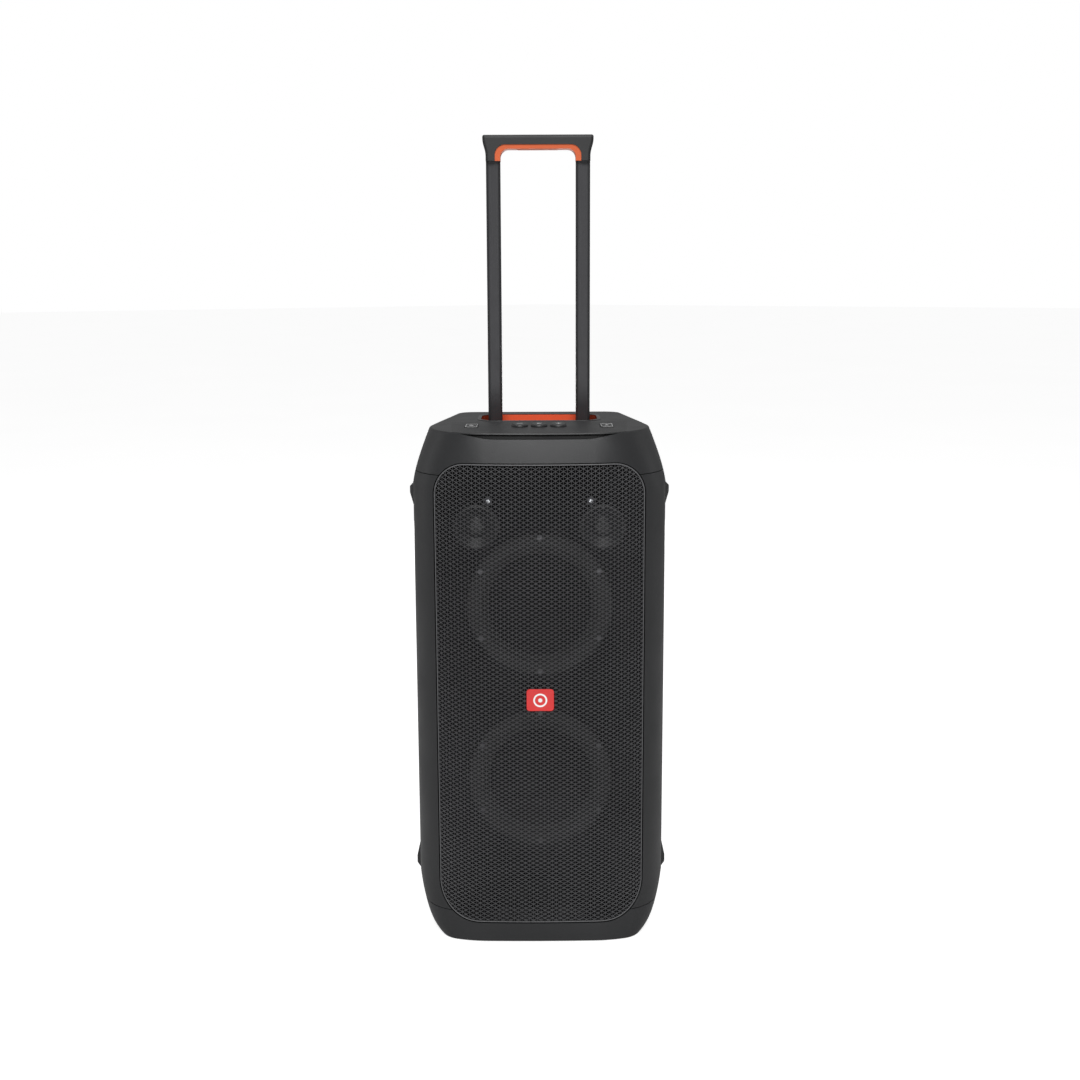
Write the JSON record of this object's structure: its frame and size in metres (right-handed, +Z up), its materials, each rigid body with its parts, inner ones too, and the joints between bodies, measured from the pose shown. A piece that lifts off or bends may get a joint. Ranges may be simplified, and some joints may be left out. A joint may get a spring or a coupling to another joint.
{
  "type": "party speaker",
  "caption": "Portable party speaker on wheels with a pull-out trolley handle, perforated curved front, deck buttons, side pads and a rear connection panel.",
  "frame": {"origin": "on the floor under the middle of the speaker's outer box", "axes": "+Z up, -Y out of the grille, +X to the right of someone facing the grille; the handle is pulled out"},
  "size_m": [0.3288, 0.367, 1.0166],
  "materials": {
    "body_plastic": "fine-grained moulded plastic",
    "cap_plastic": "fine-grained moulded plastic",
    "deck_plastic": "satin",
    "liner_orange": "satin moulded plastic",
    "trim_dark": "gloss",
    "grille_steel": "powder coat",
    "board_wood": "black-painted board",
    "foot_rubber": "matte",
    "pad_rubber": "matte",
    "basket_steel": "satin black",
    "magnet_ferrite": "ferrite and plated steel",
    "cone_paper": "pressed paper",
    "surround_rubber": "soft",
    "ring_frosted": "frosted diffuser",
    "tweeter_plastic": "satin",
    "lens_clear": "clear lens",
    "badge_coral": "satin",
    "mark_white": "gloss",
    "button_plastic": "satin",
    "board_green": "solder mask",
    "panel_plastic": "satin",
    "nickel": "nickel plate",
    "knob_plastic": "satin",
    "socket_plastic": "matte",
    "screw_steel": "black oxide",
    "battery_wrap": "shrink wrap",
    "tray_plastic": "matte",
    "sink_aluminium": "bare",
    "supply_case": "folded sheet",
    "post_aluminium": "dark anodised",
    "pin_steel": "ground",
    "guide_plastic": "matte",
    "grip_plastic": "satin",
    "grip_coral": "soft-touch",
    "tyre_rubber": "matte",
    "hub_plastic": "satin",
    "axle_steel": "turned"
  },
  "bodies": {
    "cabinet": {"cabinet_shell": "body_plastic", "back_wall": "body_plastic", "bottom_cap": "cap_plastic", "top_cap": "cap_plastic", "control_panel": "deck_plastic", "recess_liner": "liner_orange", "recess_rim": "trim_dark", "grille": "grille_steel", "front_baffle": "board_wood", "front_feet": "foot_rubber", "side_pads_upper": "pad_rubber", "side_pads_lower": "pad_rubber", "woofer_upper_basket": "basket_steel", "woofer_upper_motor": "magnet_ferrite", "woofer_upper_surround": "surround_rubber", "light_ring_upper": "ring_frosted", "woofer_lower_basket": "basket_steel", "woofer_lower_motor": "magnet_ferrite", "woofer_lower_surround": "surround_rubber", "light_ring_lower": "ring_frosted", "tweeters": "tweeter_plastic", "strobe_lights": "lens_clear", "badge_plate": "badge_coral", "badge_mark": "mark_white", "button_board": "board_green", "rear_panel": "panel_plastic", "jacks": "nickel", "socket_block": "socket_plastic", "mains_inlet": "socket_plastic", "port_tube": "panel_plastic", "battery_door": "panel_plastic", "screws": "screw_steel", "battery_pack": "battery_wrap", "battery_tray": "tray_plastic", "amplifier_board": "board_green", "heat_sink": "sink_aluminium", "power_supply": "supply_case", "guide_tubes": "guide_plastic", "guide_bracket": "guide_plastic", "axle": "axle_steel"},
    "handle": {"post_left": "post_aluminium", "post_right": "post_aluminium", "grip_shell": "grip_plastic", "grip_trim": "grip_coral"},
    "release": {"release_button": "grip_coral"},
    "latch_left": {"latch_pin_left": "pin_steel"},
    "latch_right": {"latch_pin_right": "pin_steel"},
    "cone_upper": {"woofer_upper_cone": "cone_paper"},
    "cone_lower": {"woofer_lower_cone": "cone_paper"},
    "key_left": {"button_left": "button_plastic"},
    "key_middle": {"button_middle": "button_plastic"},
    "key_right": {"button_right": "button_plastic"},
    "key_side_left": {"side_button_left": "button_plastic"},
    "key_side_right": {"side_button_right": "button_plastic"},
    "gain_left": {"knob_left": "knob_plastic"},
    "gain_right": {"knob_right": "knob_plastic"},
    "wheel_left": {"tyre_left": "tyre_rubber", "hub_left": "hub_plastic"},
    "wheel_right": {"tyre_right": "tyre_rubber", "hub_right": "hub_plastic"}
  },
  "joints": [
    {"name": "handle_slide", "type": "slide", "parent": "cabinet", "child": "handle", "axis": [0, 0, 1], "range_m": [-0.3296, 0]},
    {"name": "release_squeeze", "type": "slide", "parent": "handle", "child": "release", "axis": [0, 0, 1], "range_m": [0, 0.003], "stiffness_N_per_m": 900, "springref_m": -0.001},
    {"name": "latch_left_draw", "type": "slide", "parent": "handle", "child": "latch_left", "axis": [1, 0, 0], "range_m": [0, 0.0036]},
    {"name": "latch_right_draw", "type": "slide", "parent": "handle", "child": "latch_right", "axis": [-1, 0, 0], "range_m": [0, 0.0036]},
    {"name": "cone_upper_stroke", "type": "slide", "parent": "cabinet", "child": "cone_upper", "axis": [0, 1, 0], "range_m": [-0.004, 0.004], "stiffness_N_per_m": 2500, "deforming": ["woofer_upper_surround"]},
    {"name": "cone_lower_stroke", "type": "slide", "parent": "cabinet", "child": "cone_lower", "axis": [0, 1, 0], "range_m": [-0.004, 0.004], "stiffness_N_per_m": 2500, "deforming": ["woofer_lower_surround"]},
    {"name": "key_left_press", "type": "slide", "parent": "cabinet", "child": "key_left", "axis": [0, 0, -1], "range_m": [0, 0.0012], "stiffness_N_per_m": 700, "springref_m": -0.0006},
    {"name": "key_middle_press", "type": "slide", "parent": "cabinet", "child": "key_middle", "axis": [0, 0, -1], "range_m": [0, 0.0012], "stiffness_N_per_m": 700, "springref_m": -0.0006},
    {"name": "key_right_press", "type": "slide", "parent": "cabinet", "child": "key_right", "axis": [0, 0, -1], "range_m": [0, 0.0012], "stiffness_N_per_m": 700, "springref_m": -0.0006},
    {"name": "key_side_left_press", "type": "slide", "parent": "cabinet", "child": "key_side_left", "axis": [0, 0, -1], "range_m": [0, 0.0012], "stiffness_N_per_m": 700, "springref_m": -0.0006},
    {"name": "key_side_right_press", "type": "slide", "parent": "cabinet", "child": "key_side_right", "axis": [0, 0, -1], "range_m": [0, 0.0012], "stiffness_N_per_m": 700, "springref_m": -0.0006},
    {"name": "gain_left_turn", "type": "hinge", "parent": "cabinet", "child": "gain_left", "pos_m": [-0.048, 0.151, 0.488], "axis": [0, 1, 0], "range_deg": [-140, 140]},
    {"name": "gain_right_turn", "type": "hinge", "parent": "cabinet", "child": "gain_right", "pos_m": [-0.02, 0.151, 0.488], "axis": [0, 1, 0], "range_deg": [-140, 140]},
    {"name": "wheel_left_spin", "type": "hinge", "parent": "cabinet", "child": "wheel_left", "pos_m": [-0.106, 0.1385, 0.045], "axis": [1, 0, 0], "continuous": true},
    {"name": "wheel_right_spin", "type": "hinge", "parent": "cabinet", "child": "wheel_right", "pos_m": [0.106, 0.1385, 0.045], "axis": [1, 0, 0], "continuous": true}
  ],
  "couplings": [
    {"joint": "latch_left_draw", "follows": "release_squeeze", "ratio": 1.16},
    {"joint": "latch_right_draw", "follows": "release_squeeze", "ratio": 1.16}
  ]
}
